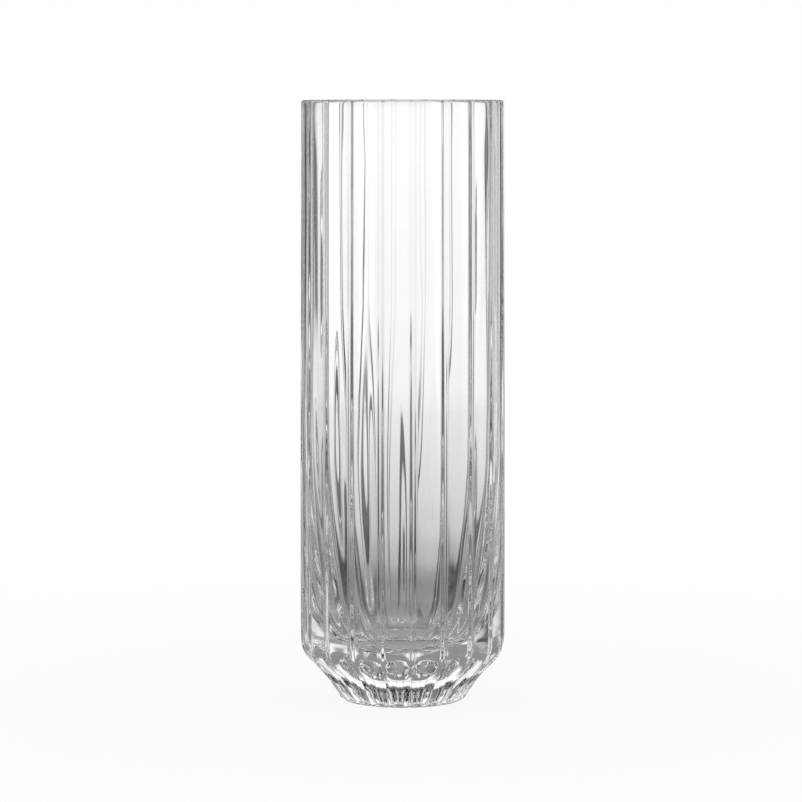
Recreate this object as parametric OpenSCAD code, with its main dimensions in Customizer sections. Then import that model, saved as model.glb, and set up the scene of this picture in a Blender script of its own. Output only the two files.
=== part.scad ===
// Ribbed glass cylinder vase, pressed in one piece: a round wall with narrow upright ribs that
// turns in over a rounded shoulder to a small scalloped foot, with a thick solid base.
// Millimetres, +Z up. The origin is the middle of the foot, on the surface it stands on.

/* [Body] */
// Height from the resting face to the top of the rim
height = 300; // [240:5:360]
// Diameter over the ribs
body_d = 103; // [90:1:120]
// Round of the rim's outer edge
rim_round = 1.6; // [0.8:0.1:2.4]

/* [Shoulder and foot] */
// Height at which the straight wall starts to turn in
shoulder_h = 32; // [26:1:44]
// Height of the waist, where the taper meets the foot
waist_h = 12.5; // [9:0.5:16]
// Diameter over the ribs at the waist
waist_d = 79; // [72:1:86]
// Diameter over the ribs at the foot's lower edge
foot_d = 65; // [58:1:68]
// Round of the foot's lower edge
foot_round = 2.6; // [1:0.2:4]

/* [Ribs] */
// Number of ribs round the vase
ribs = 20; // [12:1:24]
// Width of a rib at the straight wall
rib_w = 3.1; // [2:0.1:5]
// Height of a rib over the round wall
rib_height = 0.5; // [0.3:0.1:1.2]
// Depth of the scallops between the ribs in the foot
scallop_depth = 2.8; // [0.8:0.1:3.2]
// Angle of one rib from the front of the vase
rib_angle = 5.2; // [0:0.2:18]

/* [Cavity] */
// Thickness of the straight upper wall, over the ribs
wall = 4.6; // [3.6:0.1:6.5]
// Depth of the straight upper bore, measured from the rim
bore_depth = 150; // [120:5:180]
// Thickness of the glass over the ribs where the cavity's wall meets its bowl
bowl_wall = 18.5; // [14:0.5:22]
// Height of the cavity's floor over the resting face
floor_h = 27.5; // [18:0.5:34]
// Height of the bowl, from the floor to the cavity's wall
bowl_h = 21.5; // [14:0.5:30]
// Round of the rim's inner edge
lip_round = 1.4; // [0.6:0.1:2]

/* [Underside] */
// Diameter of the hollow under the foot
punt_d = 44; // [30:1:50]
// Depth of the hollow under the foot
punt_depth = 2; // [1:0.2:4]

/* [Hidden] */

body_r = body_d / 2;
waist_r = waist_d / 2;
foot_r = foot_d / 2;
bore_r = body_r - wall;
bowl_r = body_r - bowl_wall;
punt_r = punt_d / 2;
pitch = 360 / ribs;

// Places of the points from a rib's middle to its edge
RIB_PLACES = [0.35, 0.75, 1];
// Facets of the round wall between two ribs
WALL_STEPS = 5;

// Levels along the foot, the shoulder, the rounds and the cavity
FOOT_STEPS = 3;
SHOULDER_STEPS = 7;
ROUND_STEPS = 3;
NARROWING_STEPS = 10;
BOWL_STEPS = 8;
PUNT_STEPS = 5;
TURNED_STEPS = 96;

// Slopes of the two long curves, as shares of their rise: up out of the waist, down into the bowl
WAIST_SLOPE = 1.08;
BOWL_SLOPE = 2;
// Angle along the bowl's arc at which its flat floor starts
FLOOR_ANGLE = 65;
// Share of the lip's round at which its two facets meet
LIP_SHARE = 0.3;
OVERLAP = 1;

function lerp(a, b, t) = a + (b - a) * t;
function smooth(t) = t * t * (3 - 2 * t);

// A cubic curve from a to b that leaves a with slope sa and reaches b with slope sb
function hermite(a, b, sa, sb, t) =
    (2 * t ^ 3 - 3 * t ^ 2 + 1) * a + (t ^ 3 - 2 * t ^ 2 + t) * sa
    + (3 * t ^ 2 - 2 * t ^ 3) * b + (t ^ 3 - t ^ 2) * sb;

// Radius over the ribs on the shoulder, from the waist (t = 0) to the straight wall (t = 1):
// it leaves the waist at about 45 degrees and runs out upright
function shoulder_r(t) =
    hermite(waist_r, body_r, WAIST_SLOPE * (shoulder_h - waist_h), 0, t);

// One level of the outer form: [height, radius over the ribs, share of the wall's ribs, depth
// of the foot's scallops]
foot_levels = concat(
    [for (i = [0 : ROUND_STEPS])
        let (a = 90 * i / ROUND_STEPS)
        [foot_round * (1 - cos(a)), foot_r - foot_round * (1 - sin(a)), 0, scallop_depth * sin(a)]],
    [for (i = [1 : FOOT_STEPS])
        let (t = i / FOOT_STEPS)
        [lerp(foot_round, waist_h, t), lerp(foot_r, waist_r, t), 0, scallop_depth]]
);
shoulder_levels = [for (i = [1 : SHOULDER_STEPS])
    let (t = i / SHOULDER_STEPS)
    [lerp(waist_h, shoulder_h, t), shoulder_r(t), smooth(t), scallop_depth * (1 - smooth(t))]];
rim_levels = [for (i = [0 : ROUND_STEPS])
    let (a = 90 * i / ROUND_STEPS)
    [height - rim_round * (1 - sin(a)), body_r - rim_round * (1 - cos(a)), 1, 0]];
levels = concat(foot_levels, shoulder_levels, rim_levels);

// Points across one pitch, from the middle of a rib over the round wall to the next rib, each
// as [share of the pitch, depth below the rib]
rib_half = rib_w / (PI * body_d / ribs) / 2;
rib_side = [for (q = RIB_PLACES) [rib_half * q, rib_height * smooth(q)]];
between = [for (i = [1 : WALL_STEPS - 1]) [lerp(rib_half, 1 - rib_half, i / WALL_STEPS), rib_height]];
pitch_points = concat(
    [[0, 0]],
    rib_side,
    between,
    [for (i = [len(rib_side) - 1 : -1 : 0]) [1 - rib_side[i][0], rib_side[i][1]]]
);

// Points of one level, anticlockwise
function ring(level) = [
    for (k = [0 : ribs - 1], p = pitch_points)
        let (r = level[1] - level[2] * p[1] - level[3] * sin(180 * p[0]), a = rib_angle - 90 + pitch * (k + p[0]))
        [r * cos(a), r * sin(a), level[0]]];

// Outer form: level on level, closed at the foot and at the rim by a flat fan round the axis
module ribbed_form() {
    n = ribs * len(pitch_points);
    last = len(levels) - 1;
    foot_middle = n * len(levels);
    rim_middle = foot_middle + 1;
    points = concat([for (level = levels) each ring(level)], [[0, 0, 0], [0, 0, height]]);
    walls = [for (j = [0 : last - 1], i = [0 : n - 1])
        let (a = j * n + i, b = j * n + (i + 1) % n)
        each [[a, a + n, b], [b, a + n, b + n]]];
    foot = [for (i = [0 : n - 1]) [i, (i + 1) % n, foot_middle]];
    rim = [for (i = [0 : n - 1]) [last * n + (i + 1) % n, last * n + i, rim_middle]];
    polyhedron(points = points, faces = concat(walls, foot, rim), convexity = 6);
}

// Cavity, as one turned form: a rounded lip, the straight bore, a long easy narrowing below it
// and a bowl for a floor
module cavity() {
    bore_bottom = height - bore_depth;
    bowl_top = floor_h + bowl_h;
    lip = [
        [bore_r + 2 * lip_round, height + OVERLAP],
        [bore_r + LIP_SHARE * lip_round, height - LIP_SHARE * lip_round],
        [bore_r, height - lip_round]
    ];
    narrowing = [for (i = [0 : NARROWING_STEPS - 1])
        let (t = i / NARROWING_STEPS)
        [hermite(bore_r, bowl_r, 0, BOWL_SLOPE * (bowl_r - bore_r), t), lerp(bore_bottom, bowl_top, t)]];
    bowl = [for (i = [0 : BOWL_STEPS])
        let (a = FLOOR_ANGLE * i / BOWL_STEPS)
        [bowl_r * cos(a), bowl_top - bowl_h * sin(a) / sin(FLOOR_ANGLE)]];
    rotate_extrude($fn = TURNED_STEPS)
        polygon(concat([[0, height + OVERLAP]], lip, narrowing, bowl, [[0, floor_h]]));
}

// Shallow hollow under the foot, which leaves a ring to stand on
module punt() {
    dish = [for (i = [1 : PUNT_STEPS + 1])
        let (t = i / (PUNT_STEPS + 0.5))
        [punt_r * t, punt_depth * (1 - t ^ 2)]];
    rotate_extrude($fn = TURNED_STEPS)
        polygon(concat([[0, dish[0][1]]], dish, [[0, -OVERLAP]]));
}

module glass_vase() {
    color([0.90, 0.93, 0.93, 0.4])
        difference() {
            ribbed_form();
            cavity();
            punt();
        }
}

glass_vase();
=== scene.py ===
"""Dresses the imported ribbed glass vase: its fine form, its finish, the studio and the camera."""

import logging
import math
from dataclasses import dataclass, field, replace
from enum import Enum
from typing import Any, Optional, Union

import bpy
import numpy as np
from bpy.types import Material, Mesh, Node, NodeSocket, NodeTree, Object, World
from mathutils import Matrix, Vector
from mathutils.bvhtree import BVHTree


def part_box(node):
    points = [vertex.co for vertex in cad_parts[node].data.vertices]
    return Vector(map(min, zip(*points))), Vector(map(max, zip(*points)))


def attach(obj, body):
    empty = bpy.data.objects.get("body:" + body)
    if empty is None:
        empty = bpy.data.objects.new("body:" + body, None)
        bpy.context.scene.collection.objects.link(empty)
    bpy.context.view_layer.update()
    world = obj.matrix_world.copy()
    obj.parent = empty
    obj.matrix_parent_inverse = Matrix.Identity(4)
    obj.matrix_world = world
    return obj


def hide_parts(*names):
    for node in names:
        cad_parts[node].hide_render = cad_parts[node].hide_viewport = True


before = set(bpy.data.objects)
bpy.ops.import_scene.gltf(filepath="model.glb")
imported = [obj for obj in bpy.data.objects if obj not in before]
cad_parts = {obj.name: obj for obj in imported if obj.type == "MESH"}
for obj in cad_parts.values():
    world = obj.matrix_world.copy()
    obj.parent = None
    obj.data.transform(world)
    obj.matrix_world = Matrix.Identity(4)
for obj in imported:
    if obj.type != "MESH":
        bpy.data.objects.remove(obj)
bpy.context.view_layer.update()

LOG = logging.getLogger("glass_vase")
PHOTO_SIDE = 802
MM = 0.001

Point = tuple[float, float]
Tint = tuple[float, float, float]


class Side(Enum):
    """The side on which an edge of the vase is measured in the picture."""

    LEFT = "left"
    RIGHT = "right"
    TOP = "top"
    BOTTOM = "bottom"


class Wire:
    """A node socket that takes part in Python sums, each of which adds a Math node."""

    def __init__(self, maker: "NodeMaker", socket: NodeSocket) -> None:
        """Wraps a socket.

        Args:
            maker: The maker of the tree that the socket is in.
            socket: The output socket that carries the value.
        """
        self.maker = maker
        self.socket = socket

    def _sum(self, operation: str, left: Any, right: Any) -> "Wire":
        """Adds one Math node.

        Args:
            operation: The Math node's operation.
            left: The first value, a number or a Wire.
            right: The second value, a number or a Wire.

        Returns:
            The node's result.
        """
        return self.maker.math(operation, left, right)

    def __add__(self, other: Any) -> "Wire":
        """Value plus other."""
        return self._sum("ADD", self, other)

    def __radd__(self, other: Any) -> "Wire":
        """Other plus value."""
        return self._sum("ADD", other, self)

    def __sub__(self, other: Any) -> "Wire":
        """Value less other."""
        return self._sum("SUBTRACT", self, other)

    def __rsub__(self, other: Any) -> "Wire":
        """Other less value."""
        return self._sum("SUBTRACT", other, self)

    def __mul__(self, other: Any) -> "Wire":
        """Value times other."""
        return self._sum("MULTIPLY", self, other)

    def __rmul__(self, other: Any) -> "Wire":
        """Other times value."""
        return self._sum("MULTIPLY", other, self)

    def __abs__(self) -> "Wire":
        """Value without its sign."""
        return self.maker.math("ABSOLUTE", self)


class NodeMaker:
    """Adds the nodes of one tree."""

    def __init__(self, tree: NodeTree) -> None:
        """Clears a tree for new nodes.

        Args:
            tree: The material's or world's node tree.
        """
        self.tree = tree
        tree.nodes.clear()

    def node(self, kind: str, settings: Optional[dict[str, Any]] = None, **sockets: Any) -> Node:
        """Makes any node but a sum.

        Args:
            kind: The node's type name.
            settings: Attributes that are set first; "stops" fills a ramp with (place, grey) pairs.
            **sockets: Values or Wires by socket name, with _ for a space.

        Returns:
            The new node.
        """
        made = self.tree.nodes.new(kind)
        for name, value in (settings or {}).items():
            if name == "stops":
                self._fill_ramp(made, value)
            else:
                setattr(made, name, value)
        for name, value in sockets.items():
            self.join(made.inputs[name.replace("_", " ")], value)
        return made

    def math(self, operation: str, *values: Any) -> Wire:
        """Makes a Math node.

        Args:
            operation: The node's operation.
            *values: Numbers or Wires, in the order of the node's sockets.

        Returns:
            The node's result.
        """
        made = self.tree.nodes.new("ShaderNodeMath")
        made.operation = operation
        for socket, value in zip(made.inputs, values):
            self.join(socket, value)
        return Wire(self, made.outputs[0])

    def ramp(self, value: Wire, stops: tuple[Point, ...]) -> Wire:
        """Reads a grey level off a line through stops.

        Args:
            value: Where to read.
            stops: Pairs of place and level, in rising order.

        Returns:
            The level.
        """
        low, high = stops[0][0], stops[-1][0]
        share = self.node("ShaderNodeMapRange", Value=value, From_Min=low, From_Max=high)
        places = [((a - low) / (high - low), level) for a, level in stops]
        return self.out(self.node("ShaderNodeValToRGB", {"stops": places}, Fac=self.out(share)))

    def step(self, value: Wire, low: float, high: float) -> Wire:
        """Rises smoothly from 0 at low to 1 at high.

        Args:
            value: Where to read.
            low: Where the rise starts.
            high: Where it ends.

        Returns:
            The rise.
        """
        settings = {"interpolation_type": "SMOOTHSTEP"}
        rise = self.node("ShaderNodeMapRange", settings, Value=value, From_Min=low, From_Max=high)
        return self.out(rise)

    def blend(self, share: Wire, low: Tint, high: Tint) -> Wire:
        """Mixes two colours.

        Args:
            share: How much of the second colour shows, 0 to 1.
            low: The colour at 0.
            high: The colour at 1.

        Returns:
            The mixed colour.
        """
        mix = self.node("ShaderNodeMix", {"data_type": "RGBA"}, Factor=share)
        colours = [socket for socket in mix.inputs if socket.type == "RGBA"]
        for socket, colour in zip(colours, (low, high)):
            self.join(socket, (*colour, 1.0))
        return Wire(self, next(socket for socket in mix.outputs if socket.type == "RGBA"))

    def join(self, socket: NodeSocket, value: Any) -> None:
        """Links or sets one input.

        Args:
            socket: The input.
            value: A Wire, an output socket, or a plain value.
        """
        if isinstance(value, Wire):
            self.tree.links.new(value.socket, socket)
        elif isinstance(value, NodeSocket):
            self.tree.links.new(value, socket)
        else:
            socket.default_value = value

    def out(self, node: Node, name: Union[str, int] = 0) -> Wire:
        """Gives one output of a node as a Wire."""
        return Wire(self, node.outputs[name])

    @staticmethod
    def _fill_ramp(ramp: Node, stops: list[Point]) -> None:
        """Fills a ColorRamp with greys.

        Args:
            ramp: The ColorRamp node.
            stops: Pairs of place, 0 to 1, and grey level.
        """
        elements = ramp.color_ramp.elements
        while len(elements) > 1:
            elements.remove(elements[-1])
        elements[0].position = stops[0][0]
        elements[0].color = (stops[0][1],) * 3 + (1.0,)
        for place, grey in stops[1:]:
            elements.new(place).color = (grey, grey, grey, 1.0)


@dataclass(frozen=True)
class Contour:
    """A smooth curve through stations of height and radius, in millimetres."""

    stations: tuple[Point, ...]

    def walk(self, steps: int) -> np.ndarray:
        """Walks along the curve at even steps of its length.

        Args:
            steps: The number of points.

        Returns:
            An array of height and radius, from the first station to the last.
        """
        table = np.array(self.stations, float)
        length = np.concatenate([[0.0], np.cumsum(np.hypot(*np.diff(table, axis=0).T))])
        places = np.linspace(0.0, length[-1], steps)
        return np.stack([self._ease(length, table[:, k], places) for k in (0, 1)], 1)

    def radius(self, heights: np.ndarray) -> np.ndarray:
        """Gives the radius at each height.

        Args:
            heights: Heights in millimetres, within the stations.

        Returns:
            The radii in millimetres.
        """
        table = np.array(self.stations, float)
        return self._ease(table[:, 0], table[:, 1], heights)

    @staticmethod
    def _ease(knots: np.ndarray, values: np.ndarray, places: np.ndarray) -> np.ndarray:
        """Joins knots by cubics that never swing past them.

        Args:
            knots: Rising places of the knots.
            values: Values at the knots.
            places: Where the curve is wanted.

        Returns:
            The values there.
        """
        gaps = np.diff(knots)
        rises = np.diff(values) / gaps
        slopes = np.concatenate([[rises[0]], np.zeros(len(gaps) - 1), [rises[-1]]])
        for i in range(1, len(gaps)):
            if rises[i - 1] * rises[i] > 0:
                near = 2 * gaps[i] + gaps[i - 1]
                far = gaps[i] + 2 * gaps[i - 1]
                slopes[i] = (near + far) / (near / rises[i - 1] + far / rises[i])
        i = np.clip(np.searchsorted(knots, places) - 1, 0, len(gaps) - 1)
        t = np.clip((places - knots[i]) / gaps[i], 0.0, 1.0)
        return (
            (2 * t**3 - 3 * t**2 + 1) * values[i]
            + (t**3 - 2 * t**2 + t) * gaps[i] * slopes[i]
            + (3 * t**2 - 2 * t**3) * values[i + 1]
            + (t**3 - t**2) * gaps[i] * slopes[i + 1]
        )


@dataclass(frozen=True)
class Ribbing:
    """The narrow upright ribs on the round wall, and the scallops that the foot has between them.

    Lengths are in millimetres and angles in degrees.
    """

    count: int = 20
    angle: float = 5.4
    width: float = 3.7
    height: float = 0.52
    bluntness: float = 0.59
    steps: int = 36
    gather: float = 0.09
    scallop: float = 2.8
    scallop_power: float = 0.9
    growth: float = 1.0
    growth_levels: Point = (50.0, 200.0)
    inner_swing: float = 0.75

    def angles(self) -> np.ndarray:
        """Gives the angle of every point round a level.

        Returns:
            Angles in radians from +X.
        """
        pitch = 2 * np.pi / self.count
        start = np.radians(self.angle - 90)
        return (start + pitch * (np.arange(self.count)[:, None] + self.places()[None, :])).ravel()

    def places(self) -> np.ndarray:
        """Gives the places of the points across one pitch, closer together on the ribs."""
        even = np.arange(self.steps) / self.steps
        return even - self.gather * np.sin(2 * np.pi * even)

    def low(self, z: float) -> float:
        """Gives how low a level is on the wall, from 1 at its bottom to 0 in its straight part.

        Args:
            z: Height of the level.

        Returns:
            The share.
        """
        bottom, top = self.growth_levels
        return 1 - min(max((z - bottom) / (top - bottom), 0.0), 1.0)

    def depth(self, radius: float, foot: float, low: float) -> np.ndarray:
        """Gives how far each point of a level lies below the ribs.

        Args:
            radius: The level's radius over the ribs.
            foot: How far the level is given over to the foot's form, 0 to 1.
            low: How low the level is on the wall, where the ribs stand higher.

        Returns:
            Depths in millimetres, one for each of angles().
        """
        pitch = 2 * np.pi * radius / self.count
        t = self.places()
        q = np.clip(np.minimum(t, 1 - t) * pitch / (self.width / 2), 0.0, 1.0)
        rib = q**2 * (1 - self.bluntness) + self.bluntness * (3 * q**2 - 2 * q**3)
        scallop = self.scallop * np.sin(np.pi * t) ** self.scallop_power
        height = self.height * (1 + self.growth * low)
        return np.tile(height * rib * (1 - foot) + scallop * foot, self.count)

    def inner(self, low: float) -> np.ndarray:
        """Gives how far the cavity's wall follows the ribs at a level.

        Args:
            low: How low the level is on the wall.

        Returns:
            Millimetres round the level.
        """
        swing = 0.5 - 0.5 * np.cos(2 * np.pi * self.places())
        return self.inner_swing * low * np.tile(swing, self.count)


@dataclass(frozen=True)
class ClearGlass:
    """Clear pressed glass, a little deeper in tone where it is thick, scuffed where it stands.

    Heights are in metres.
    """

    ior: float = 1.52
    thin_tint: Tint = (0.995, 0.997, 0.996)
    thick_tint: Tint = (0.958, 0.963, 0.961)
    thick_levels: Point = (0.05, 0.12)
    cloud: float = 0.5
    ripple_scale: float = 90.0
    ripple_draw: float = 0.12
    bump: float = 0.05
    bump_height: float = 0.0004
    scuff: float = 0.2
    scuff_levels: Point = (0.0002, 0.0012)

    def material(self) -> Material:
        """Makes the material.

        Returns:
            The glass material, with a faint waviness as its bump and a scuffed resting ring.
        """
        made = bpy.data.materials.new("clear_glass")
        made.use_nodes = True
        maker = NodeMaker(made.node_tree)
        place = maker.node("ShaderNodeTexCoord").outputs["Object"]
        drawn = maker.node("ShaderNodeMapping", Vector=place, Scale=(1.0, 1.0, self.ripple_draw))
        ripple = maker.node(
            "ShaderNodeTexNoise",
            Vector=maker.out(drawn),
            Scale=self.ripple_scale,
            Detail=2.0,
            Roughness=0.5,
        )
        bump = maker.node(
            "ShaderNodeBump",
            Height=maker.out(ripple),
            Strength=self.bump,
            Distance=self.bump_height,
        )
        height = maker.out(maker.node("ShaderNodeSeparateXYZ", Vector=place), 2)
        uneven = 1.0 + self.cloud * (maker.out(ripple) - 0.5)
        thick = (1.0 - maker.step(height, *self.thick_levels)) * uneven
        tint = maker.blend(thick, self.thin_tint, self.thick_tint)
        scuff = self.scuff * (1.0 - maker.step(height, *self.scuff_levels))
        shader = maker.node(
            "ShaderNodeBsdfPrincipled",
            Base_Color=tint,
            Roughness=scuff,
            IOR=self.ior,
            Transmission_Weight=1.0,
            Normal=maker.out(bump),
        )
        maker.node("ShaderNodeOutputMaterial", Surface=maker.out(shader))
        return made


@dataclass
class GlassVase:
    """The vase: one closed skin lofted from rings, outside, over the rim and down the cavity."""

    ribbing: Ribbing = field(default_factory=Ribbing)
    finish: ClearGlass = field(default_factory=ClearGlass)
    crest: Contour = Contour(
        (
            (0.0, 29.6), (0.9, 31.2), (2.8, 32.5), (4.8, 33.9), (6.8, 35.35), (8.8, 36.6),
            (10.8, 38.0), (12.8, 39.6), (14.9, 41.4), (16.9, 43.5), (18.9, 45.5), (20.9, 47.4),
            (22.9, 48.95), (24.9, 50.05), (27.0, 50.8), (29.5, 51.2), (33.0, 51.4), (60.0, 51.45),
            (150.0, 51.25), (235.0, 50.85), (300.0, 50.6),
        )
    )
    bore: Contour = Contour(
        (
            (27.5, 0.0), (27.8, 12.0), (29.0, 18.0), (32.5, 24.0), (39.0, 29.0), (49.0, 33.0),
            (60.0, 35.7), (75.0, 39.0), (95.0, 42.6), (120.0, 45.4), (150.0, 46.6),
        )
    )
    rim_round: float = 1.4
    lip_round: float = 1.2
    foot_top: float = 12.5
    shoulder_top: float = 32.0
    punt_radius: float = 22.0
    punt_depth: float = 2.0
    resting_edge: float = 2.4
    foot_rings: int = 13
    shoulder_rings: int = 79
    wall_rings: int = 70
    round_rings: int = 8
    wobble: float = 0.03
    waves: int = 14
    wave_fade: Point = (6.0, 26.0)
    seed: int = 7

    def build(self, low: Vector, high: Vector) -> Object:
        """Builds the vase in the space of its CAD node.

        Args:
            low: Lowest corner of the CAD node, in metres.
            high: Highest corner of the CAD node, in metres.

        Returns:
            The vase's object, in place, with its finish.
        """
        height = (high.z - low.z) / MM
        rings = self._underside() + self._outside(height) + self._inside(height)
        angles = self.ribbing.angles()
        count = len(angles)
        points = np.concatenate(
            [
                np.stack([r * np.cos(angles), r * np.sin(angles), z + 0 * angles], 1)
                for z, r in rings
            ]
            + [[[0.0, 0.0, self.punt_depth], [0.0, 0.0, self.bore.stations[0][0]]]]
        )
        mesh = self._skin(points * MM + np.array([0.0, 0.0, low.z]), len(rings), count)
        vase = bpy.data.objects.new("vase_glass", mesh)
        bpy.context.collection.objects.link(vase)
        mesh.materials.append(self.finish.material())
        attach(vase, "root")
        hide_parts("glass_vase")
        return vase

    def rib_line(self, left: bool) -> np.ndarray:
        """Gives the middle line of the second rib left or the first rib right of the front one.

        Args:
            left: Whether the rib left of the middle is wanted.

        Returns:
            Places up the rib in metres, as rows of x, y and z.
        """
        turn = math.radians(self.ribbing.angle + 360 / self.ribbing.count * (-2 if left else 1))
        heights = np.arange(self.shoulder_top, self.crest.stations[-1][0], 0.25)
        radii = self.crest.radius(heights)
        return np.stack([radii * math.sin(turn), -radii * math.cos(turn), heights], 1) * MM

    def _underside(self) -> list[tuple[float, np.ndarray]]:
        """Makes the rings of the hollow under the foot, from near its middle outwards.

        Returns:
            Height and radii of each ring.
        """
        round_ring = np.ones(len(self.ribbing.angles()))
        shares = np.linspace(0.0, 1.0, 14)[1:]
        return [
            (self.punt_depth * (1 - s**2), self.punt_radius * s * round_ring) for s in shares
        ]

    def _outside(self, height: float) -> list[tuple[float, np.ndarray]]:
        """Gives the ribbed rings from the foot's resting edge to the rim's outer round.

        Args:
            height: Height of the vase in millimetres.

        Returns:
            Height and radii of each ring.
        """
        straight = height - self.rim_round
        levels = np.concatenate(
            [
                np.linspace(0.0, 3.0, self.foot_rings, endpoint=False),
                np.linspace(3.0, 36.0, self.shoulder_rings, endpoint=False),
                np.linspace(36.0, straight, self.wall_rings),
            ]
        )
        rings = []
        for z, crest in zip(levels, self.crest.radius(levels)):
            rings.append((z, crest - self._depth(z, crest)))
        crest = self.crest.stations[-1][1]
        body = self._depth(height, crest)
        for a in np.linspace(0.0, np.pi / 2, self.round_rings)[1:]:
            radii = crest - self.rim_round * (1 - np.cos(a)) - body
            rings.append((straight + self.rim_round * np.sin(a), radii))
        return rings

    def _depth(self, z: float, crest: float) -> np.ndarray:
        """Gives how far the wall lies below the ribs at a level.

        Args:
            z: Height of the level.
            crest: Radius over the ribs there.

        Returns:
            Depths in millimetres round the level.
        """
        t = min(max((z - self.foot_top) / (self.shoulder_top - self.foot_top), 0.0), 1.0)
        foot = 1 - t * t * (3 - 2 * t)
        fade = math.sqrt(max(0.0, 1 - (1 - min(z / self.resting_edge, 1.0)) ** 2))
        return self.ribbing.depth(crest, foot, self.ribbing.low(z)) * fade

    def _inside(self, height: float) -> list[tuple[float, np.ndarray]]:
        """Gives the rings of the lip and the cavity, from the rim down to its floor.

        Args:
            height: Height of the vase in millimetres.

        Returns:
            Height and radii of each ring.
        """
        angles = self.ribbing.angles()
        bore = self.bore.stations[-1][1]
        rings = []
        for a in np.linspace(np.pi / 2, 0.0, self.round_rings):
            radii = bore + self.lip_round * (1 - np.cos(a)) + 0 * angles
            rings.append((height - self.lip_round * (1 - np.sin(a)), radii))
        top = self.bore.stations[-1][0]
        wall = [(z, bore) for z in np.linspace(height - self.lip_round, top, 50)[1:-1]]
        bowl = [(z, r) for z, r in self.bore.walk(140)[::-1][:-1]]
        for z, r in wall + bowl:
            share = min(r / bore, 1.0) ** 2
            swing = self.ribbing.inner(self.ribbing.low(z))
            rings.append((z, r + (self._waves(z, height) - swing) * share))
        return rings

    def _waves(self, z: float, height: float) -> np.ndarray:
        """Gives the slow unevenness that the plunger leaves on the cavity's wall.

        Args:
            z: Height of the level.
            height: Height of the vase.

        Returns:
            Offsets of the radius round the level, in millimetres.
        """
        rng = np.random.default_rng(self.seed)
        angles = self.ribbing.angles()
        total = np.zeros(len(angles))
        for _ in range(self.waves):
            lobes = rng.integers(9, 60)
            turns = rng.uniform(-1.5, 1.5)
            start = rng.uniform(0.0, 2 * np.pi)
            twist = turns * 2 * np.pi * z / height
            total += np.sin(lobes * angles + start + twist) / math.sqrt(lobes)
        near, far = self.wave_fade
        fade = min(max((height - near - z) / (far - near), 0.0), 1.0)
        return self.wobble * (1 + self.ribbing.low(z)) * total * fade

    @staticmethod
    def _skin(points: np.ndarray, rings: int, count: int) -> Mesh:
        """Covers the rings with one closed smooth skin.

        Args:
            points: Points of all rings in order, then the two middle points.
            rings: Number of rings.
            count: Points in one ring.

        Returns:
            The mesh.
        """
        row = np.arange(rings - 1)[:, None] * count
        here = np.arange(count)[None, :]
        step = (here + 1) % count
        quads = np.stack([row + here, row + step, row + count + step, row + count + here], -1)
        last = (rings - 1) * count
        middle = rings * count
        fans = [[middle, int(b), int(a)] for a, b in zip(here[0], step[0])]
        fans += [[middle + 1, int(last + a), int(last + b)] for a, b in zip(here[0], step[0])]
        mesh = bpy.data.meshes.new("vase_glass")
        mesh.from_pydata(points.tolist(), [], quads.reshape(-1, 4).tolist() + fans)
        mesh.polygons.foreach_set("use_smooth", np.ones(len(mesh.polygons), bool))
        mesh.update()
        return mesh


@dataclass(frozen=True)
class SideLight:
    """How bright the studio is round the vase: a lit backdrop, dark gaps and lit sides.

    Turns are in degrees: 0 is straight behind the vase, 180 at the camera. The slants are the
    lit sectors near 45 and 135 degrees.
    """

    slant: float = 1.3
    back_slant: float = 1.2

    def turns(self) -> tuple[Point, ...]:
        """Gives the light's level by turn.

        Returns:
            Pairs of turn in degrees and level.
        """
        slant, front = self.slant, self.back_slant
        return (
            (0, 1.12), (8, 1.12), (13, 0.9), (16.5, 0.05), (33, 0.05), (38, 0.73 * slant),
            (40, slant), (50, slant), (54, 0.65 * slant), (60, 0.4), (70, 0.4), (76, 1.0),
            (101, 0.95), (108, 0.3), (115, 0.05), (119, 0.4), (126, 0.5), (129, front),
            (141, front), (144, 0.5), (147, 0.3), (151, 0.3), (155, 0.4), (180, 0.5),
        )

    def level(self, maker: NodeMaker, x: Wire, y: Wire, strength: Any) -> Wire:
        """Works out the light that comes from a place or a direction.

        Args:
            maker: The maker of the tree.
            x: The place's x.
            y: The place's y.
            strength: How far the turn counts there, 0 for even light.

        Returns:
            The level.
        """
        turn = abs(maker.math("ARCTAN2", x, y)) * math.degrees(1.0)
        return 1.0 + (maker.ramp(turn, self.turns()) - 1.0) * strength


BACKDROP_LIGHT = SideLight(slant=0.9, back_slant=1.1)


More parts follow.
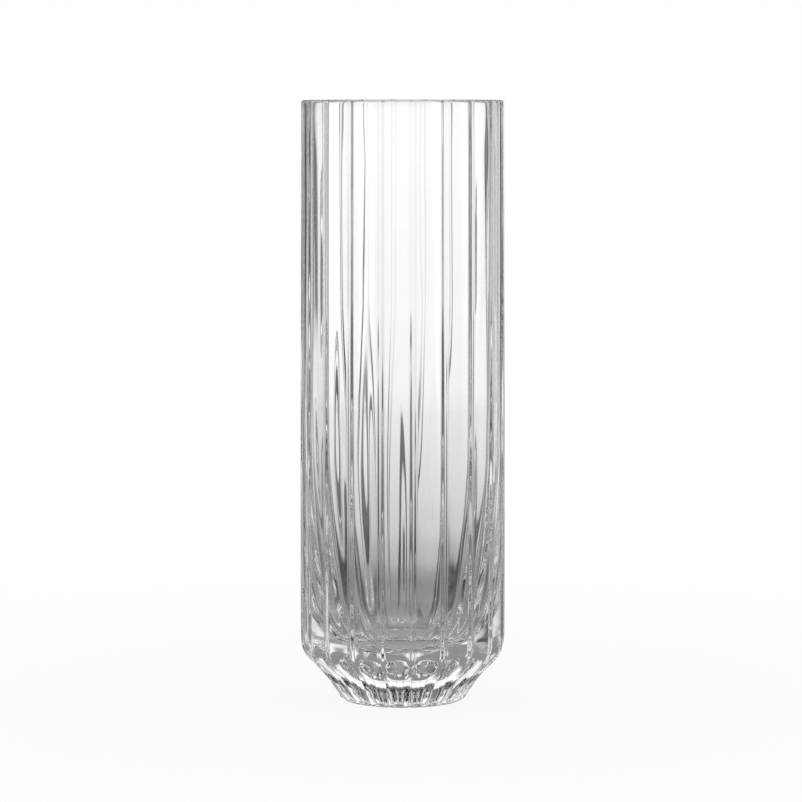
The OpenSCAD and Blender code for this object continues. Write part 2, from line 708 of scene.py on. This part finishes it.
@dataclass(frozen=True)
class PaleFloor:
    """The pale floor that the vase stands on, a wide round top that ends out of the picture; the
    glass sees painted light and painted shade on it.
    """

    radius: float = 3.0
    points: int = 96
    gap_under: float = 0.0003
    whiteness: float = 0.88
    shadow_share: float = 0.1
    shadow_reach: float = 0.45
    # Painted light and shade that the glass sees on the floor, by distance from the vase: painted
    # shade near it, lighter far away.
    painted_glow: tuple[Point, ...] = (
        (0.0, 0.36), (0.08, 0.28), (0.12, 0.24), (0.17, 0.37), (0.19, 0.47), (0.24, 0.6),
        (0.283, 0.64), (0.35, 0.67), (0.42, 0.69), (0.52, 0.71), (0.7, 0.74), (0.92, 0.78),
        (1.2, 0.85), (1.7, 0.89), (3.0, 0.95),
    )
    # How strongly the painted dark gaps and lit sectors show on the floor, by distance from the
    # vase.
    gap_share: tuple[Point, ...] = (
        (0.0, 0.0), (0.12, 0.9), (0.2, 1.0), (0.28, 0.9), (1.0, 0.87), (1.6, 1.0), (3.0, 1.0),
    )
    # Painted dark gaps and lit sectors on the floor, near the vase and far from it.
    light: SideLight = SideLight()
    painted_far_light: SideLight = BACKDROP_LIGHT
    far_reach: Point = (0.7, 1.6)

    def build(self) -> Object:
        """Builds the floor.

        Returns:
            The floor's object.
        """
        edge = []
        for a in 2 * np.pi * np.arange(self.points) / self.points:
            edge.append((self.radius * math.cos(a), self.radius * math.sin(a), -self.gap_under))
        mesh = bpy.data.meshes.new("floor")
        mesh.from_pydata(edge, [], [tuple(range(self.points))])
        floor = bpy.data.objects.new("floor", mesh)
        bpy.context.collection.objects.link(floor)
        mesh.materials.append(self._material())
        return floor

    def _material(self) -> Material:
        """Makes the floor's finish: white to the camera but for the real shadow; in the glass it
        shows painted light and painted shade, darker near the vase, with painted dark gaps and lit
        sectors round it.

        Returns:
            The floor's material.
        """
        made = bpy.data.materials.new("floor")
        made.use_nodes = True
        maker = NodeMaker(made.node_tree)
        level = self.whiteness
        place = maker.node("ShaderNodeTexCoord").outputs["Object"]
        length = maker.node("ShaderNodeVectorMath", {"operation": "LENGTH"}, Vector=place)
        away = maker.out(length, "Value")
        parts = maker.node("ShaderNodeSeparateXYZ", Vector=place)
        # Painted light: dark gaps and lit sectors laid on the floor as the studio's sides would
        # throw them.
        strength = maker.ramp(away, self.gap_share)
        x, y = maker.out(parts, 0), maker.out(parts, 1)
        far = maker.step(away, *self.far_reach)
        light = self.light.level(maker, x, y, strength) * (1.0 - far)
        light = light + self.painted_far_light.level(maker, x, y, strength) * far
        # Painted shade near the vase and painted light far away, which only rays through or off the
        # glass see.
        painted_glow = maker.ramp(away, self.painted_glow) * light
        path = maker.node("ShaderNodeLightPath")
        camera = maker.out(path, "Is Camera Ray")
        bent, mirrored = maker.out(path, "Is Transmission Ray"), maker.out(path, "Is Glossy Ray")
        glass = maker.math("MAXIMUM", bent, mirrored)
        near = maker.ramp(away, ((0.0, 1.0), (self.shadow_reach, 0.0), (self.radius, 0.0)))
        share = camera * (1.0 - self.shadow_share * near)
        paint = maker.node("ShaderNodeBsdfDiffuse", Color=(level, level, level, 1.0))
        # Emission: plain white to the camera, the painted light and shade to the glass.
        white_and_painted_emission = maker.node(
            "ShaderNodeBsdfPrincipled",
            Base_Color=(0.0, 0.0, 0.0, 1.0),
            Roughness=1.0,
            Specular_IOR_Level=0.0,
            Emission_Color=maker.math("MAXIMUM", painted_glow, camera),
            Emission_Strength=1.0,
        )
        mix = maker.node("ShaderNodeMixShader")
        maker.join(mix.inputs[0], maker.math("MAXIMUM", share, glass))
        maker.join(mix.inputs[1], maker.out(paint))
        maker.join(mix.inputs[2], maker.out(white_and_painted_emission))
        maker.node("ShaderNodeOutputMaterial", Surface=maker.out(mix))
        return made


@dataclass(frozen=True)
class SoftStudio:
    """The soft white studio as the world, white to the camera and with its sectors in the glass."""

    rises: tuple[Point, ...] = (
        (-9.0, 0.85), (-5.7, 0.9), (-2.9, 0.95), (-1.2, 1.0), (3.0, 1.0), (5.0, 0.28), (15.5, 0.28),
        (20.0, 1.15), (35.0, 1.15), (50.0, 0.35), (90.0, 0.3),
    )
    overhead: Point = (2.5, 5.0)
    light: SideLight = BACKDROP_LIGHT

    def build(self) -> World:
        """Builds the world.

        Returns:
            The world, set on the scene.
        """
        world = bpy.data.worlds.new("studio")
        bpy.context.scene.world = world
        world.use_nodes = True
        maker = NodeMaker(world.node_tree)
        direction = maker.node("ShaderNodeTexCoord").outputs["Generated"]
        parts = maker.node("ShaderNodeSeparateXYZ", Vector=direction)
        x, y, z = (maker.out(parts, k) for k in range(3))
        rise = maker.math("ARCSINE", z) * math.degrees(1.0)
        strength = 1.0 - maker.step(rise, *self.overhead)
        level = maker.ramp(rise, self.rises) * self.light.level(maker, x, y, strength)
        around = maker.node("ShaderNodeBackground", Color=level)
        white = maker.node("ShaderNodeBackground", Color=(1.0, 1.0, 1.0, 1.0))
        path = maker.node("ShaderNodeLightPath")
        mix = maker.node("ShaderNodeMixShader")
        maker.join(mix.inputs[0], maker.out(path, "Is Camera Ray"))
        maker.join(mix.inputs[1], maker.out(around))
        maker.join(mix.inputs[2], maker.out(white))
        maker.node("ShaderNodeOutputWorld", Surface=maker.out(mix))
        return world


@dataclass(frozen=True)
class LightPaths:
    """How often light may turn inside the thick glass before it is lost."""

    reflections: int = 12
    total: int = 24

    def allow(self) -> None:
        """Sets the scene's light path lengths."""
        paths = bpy.context.scene.cycles
        paths.max_bounces = self.total
        paths.transmission_bounces = self.total
        paths.glossy_bounces = self.reflections


@dataclass(frozen=True)
class PhotoCamera:
    """The camera of the photograph, level with the rim, which looks along +Y and a little down."""

    distance: float = 1.8
    height: float = 0.3095
    aim: float = 0.15
    pixels_per_metre: float = 2000.0
    sensor: float = 36.0
    shift_x: float = -0.0024
    clip_end: float = 100.0

    def build(self) -> Object:
        """Builds the camera and makes it the scene's.

        Returns:
            The camera's object.
        """
        data = bpy.data.cameras.new("photo_camera")
        camera = bpy.data.objects.new("photo_camera", data)
        bpy.context.collection.objects.link(camera)
        camera.location = (0.0, -self.distance, self.height)
        gaze = Vector((0.0, 0.0, self.aim)) - camera.location
        camera.rotation_euler = gaze.to_track_quat("-Z", "Y").to_euler()
        data.sensor_fit = "AUTO"
        data.sensor_width = self.sensor
        data.lens = self.pixels_per_metre * gaze.length * self.sensor / PHOTO_SIDE
        data.shift_x = self.shift_x
        data.clip_end = self.clip_end
        bpy.context.scene.camera = camera
        bpy.context.view_layer.update()
        return camera


@dataclass(frozen=True)
class EdgePoint:
    """A point on the vase's outline in the photograph; the object's own edges have one number."""

    name: str
    side: Side
    x: Optional[float] = None
    y: Optional[float] = None
    reach: float = 4.0

    def offset(self, shown: np.ndarray) -> list[Optional[float]]:
        """Measures how far the finished vase's outline shows from the point.

        Args:
            shown: Picture places of the vase's vertices, as rows of x and y.

        Returns:
            Offsets in x and y, with None for the number that the point doesn't fix.
        """
        across = self.side in (Side.LEFT, Side.RIGHT)
        along = self.y if across else self.x
        near = shown
        if along is not None:
            near = shown[np.abs(shown[:, 1 if across else 0] - along) < self.reach]
        wanted = self.x if across else self.y
        values = near[:, 0 if across else 1]
        found = values.min() if self.side in (Side.LEFT, Side.TOP) else values.max()
        gap = round(float(found - wanted), 2)
        return [gap, None] if across else [None, gap]


@dataclass
class PhotoPoints:
    """The named image points of the photograph, and the one function that places things by them."""

    camera: Object
    width: float = 802.0
    height: float = 802.0
    edges: tuple[EdgePoint, ...] = (
        EdgePoint("left", Side.LEFT, x=299.7),
        EdgePoint("right", Side.RIGHT, x=505.2),
        EdgePoint("top", Side.TOP, y=98.8),
        EdgePoint("bottom", Side.BOTTOM, y=707.3),
        EdgePoint("wall_left", Side.LEFT, x=300.8, y=200.5),
        EdgePoint("wall_right", Side.RIGHT, x=504.6, y=200.5),
        EdgePoint("shoulder_left", Side.LEFT, x=316.8, y=665.5, reach=1.0),
        EdgePoint("shoulder_right", Side.RIGHT, x=487.7, y=665.5, reach=1.0),
        EdgePoint("taper_left", Side.LEFT, x=332.7, y=685.5, reach=1.0),
        EdgePoint("taper_right", Side.RIGHT, x=471.5, y=685.5, reach=1.0),
        EdgePoint("rim_left", Side.TOP, x=303.5, y=100.0, reach=1.5),
        EdgePoint("foot_left", Side.BOTTOM, x=365.5, y=705.3, reach=1.5),
        EdgePoint("foot_right", Side.BOTTOM, x=440.5, y=705.3, reach=1.5),
    )
    ribs: tuple[Point, ...] = ((350.1, 230.0), (444.8, 230.0))
    search: Point = (0.7, 1.3)
    stations: int = 201

    def place(self, x: float, y: float, tree: BVHTree) -> Vector:
        """Finds the place on a surface that shows at a point of the photograph.

        Args:
            x: The point's x.
            y: The point's y.
            tree: The surface that carries what is placed.

        Returns:
            The place, or the surface's place nearest the ray where the ray misses it.
        """
        data, side = self.camera.data, max(self.width, self.height)
        aim = Vector(
            (
                x - self.width / 2 + data.shift_x * side,
                self.height / 2 - y + data.shift_y * side,
                -side * data.lens / data.sensor_width,
            )
        )
        start = self.camera.matrix_world.translation
        ray = (self.camera.matrix_world.to_3x3() @ aim).normalized()
        hit = tree.ray_cast(start, ray)[0]
        if hit is not None:
            return hit
        reach = start.length
        shares = np.linspace(*self.search, self.stations)
        stations = (start + ray * float(reach * share) for share in shares)
        found = (tree.find_nearest(station) for station in stations)
        return min(found, key=lambda near: near[3])[0]

    def show(self, places: np.ndarray) -> np.ndarray:
        """Finds where places show in the picture.

        Args:
            places: Rows of x, y and z in metres.

        Returns:
            Rows of picture x and y.
        """
        data, side = self.camera.data, max(self.width, self.height)
        turned = np.array(self.camera.matrix_world.inverted())
        seen = places @ turned[:3, :3].T + turned[:3, 3]
        scale = side * data.lens / data.sensor_width / -seen[:, 2]
        return np.stack(
            [
                self.width / 2 - data.shift_x * side + seen[:, 0] * scale,
                self.height / 2 + data.shift_y * side - seen[:, 1] * scale,
            ],
            1,
        )

    def rib_angle(self, tree: BVHTree, count: int) -> float:
        """Turns the ribs so that two of them pass through their points.

        Args:
            tree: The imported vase's surface.
            count: Number of ribs.

        Returns:
            The angle of the first rib right of the front, in degrees.
        """
        pitch = 360 / count
        turns = []
        for x, y in self.ribs:
            spot = self.place(x, y, tree)
            turns.append(math.degrees(math.atan2(spot.x, -spot.y)) % pitch)
        return sum(turns) / len(turns)

    def write(self, vase: "GlassVase", made: Object) -> dict[str, list[Optional[float]]]:
        """Works out how far each thing shows from its point.

        Args:
            vase: The vase's sizes.
            made: The vase's object.

        Returns:
            The offsets in x and y by name.
        """
        corners = np.empty(len(made.data.vertices) * 3)
        made.data.vertices.foreach_get("co", corners)
        shown = self.show(corners.reshape(-1, 3))
        offsets = {edge.name: edge.offset(shown) for edge in self.edges}
        for name, (x, y) in zip(("rib_left", "rib_right"), self.ribs):
            line = self.show(vase.rib_line(x < self.width / 2))
            spot = line[np.abs(line[:, 1] - y).argmin()]
            offsets[name] = [round(float(spot[0] - x), 2), round(float(spot[1] - y), 2)]
        return offsets


def main() -> None:
    """Builds the camera, the vase and the studio in order and reports each."""
    logging.basicConfig(level=logging.INFO, format="%(message)s")
    camera = PhotoCamera().build()
    LOG.info("photo_camera: lens %.1f mm", camera.data.lens)
    points = PhotoPoints(camera)
    packed = bpy.data.objects["glass_vase"].data
    corners = [vertex.co for vertex in packed.vertices]
    tree = BVHTree.FromPolygons(corners, [face.vertices for face in packed.polygons])
    ribbing = Ribbing()
    vase = GlassVase(ribbing=replace(ribbing, angle=points.rib_angle(tree, ribbing.count)))
    made = vase.build(*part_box("glass_vase"))
    count = len(made.data.vertices)
    LOG.info("%s: %d points, first rib at %.2f degrees", made.name, count, vase.ribbing.angle)
    offsets = points.write(vase, made)
    LOG.info("image points: %s", offsets)
    floor = PaleFloor().build()
    LOG.info("%s: radius %.1f m", floor.name, PaleFloor.radius)
    studio = SoftStudio().build()
    LOG.info("%s: world with %d nodes", studio.name, len(studio.node_tree.nodes))
    LightPaths().allow()
    LOG.info("light paths: %d turns in the glass", LightPaths.reflections)
    bpy.context.scene.view_settings.view_transform = "Standard"


if __name__ == "__main__":
    main()
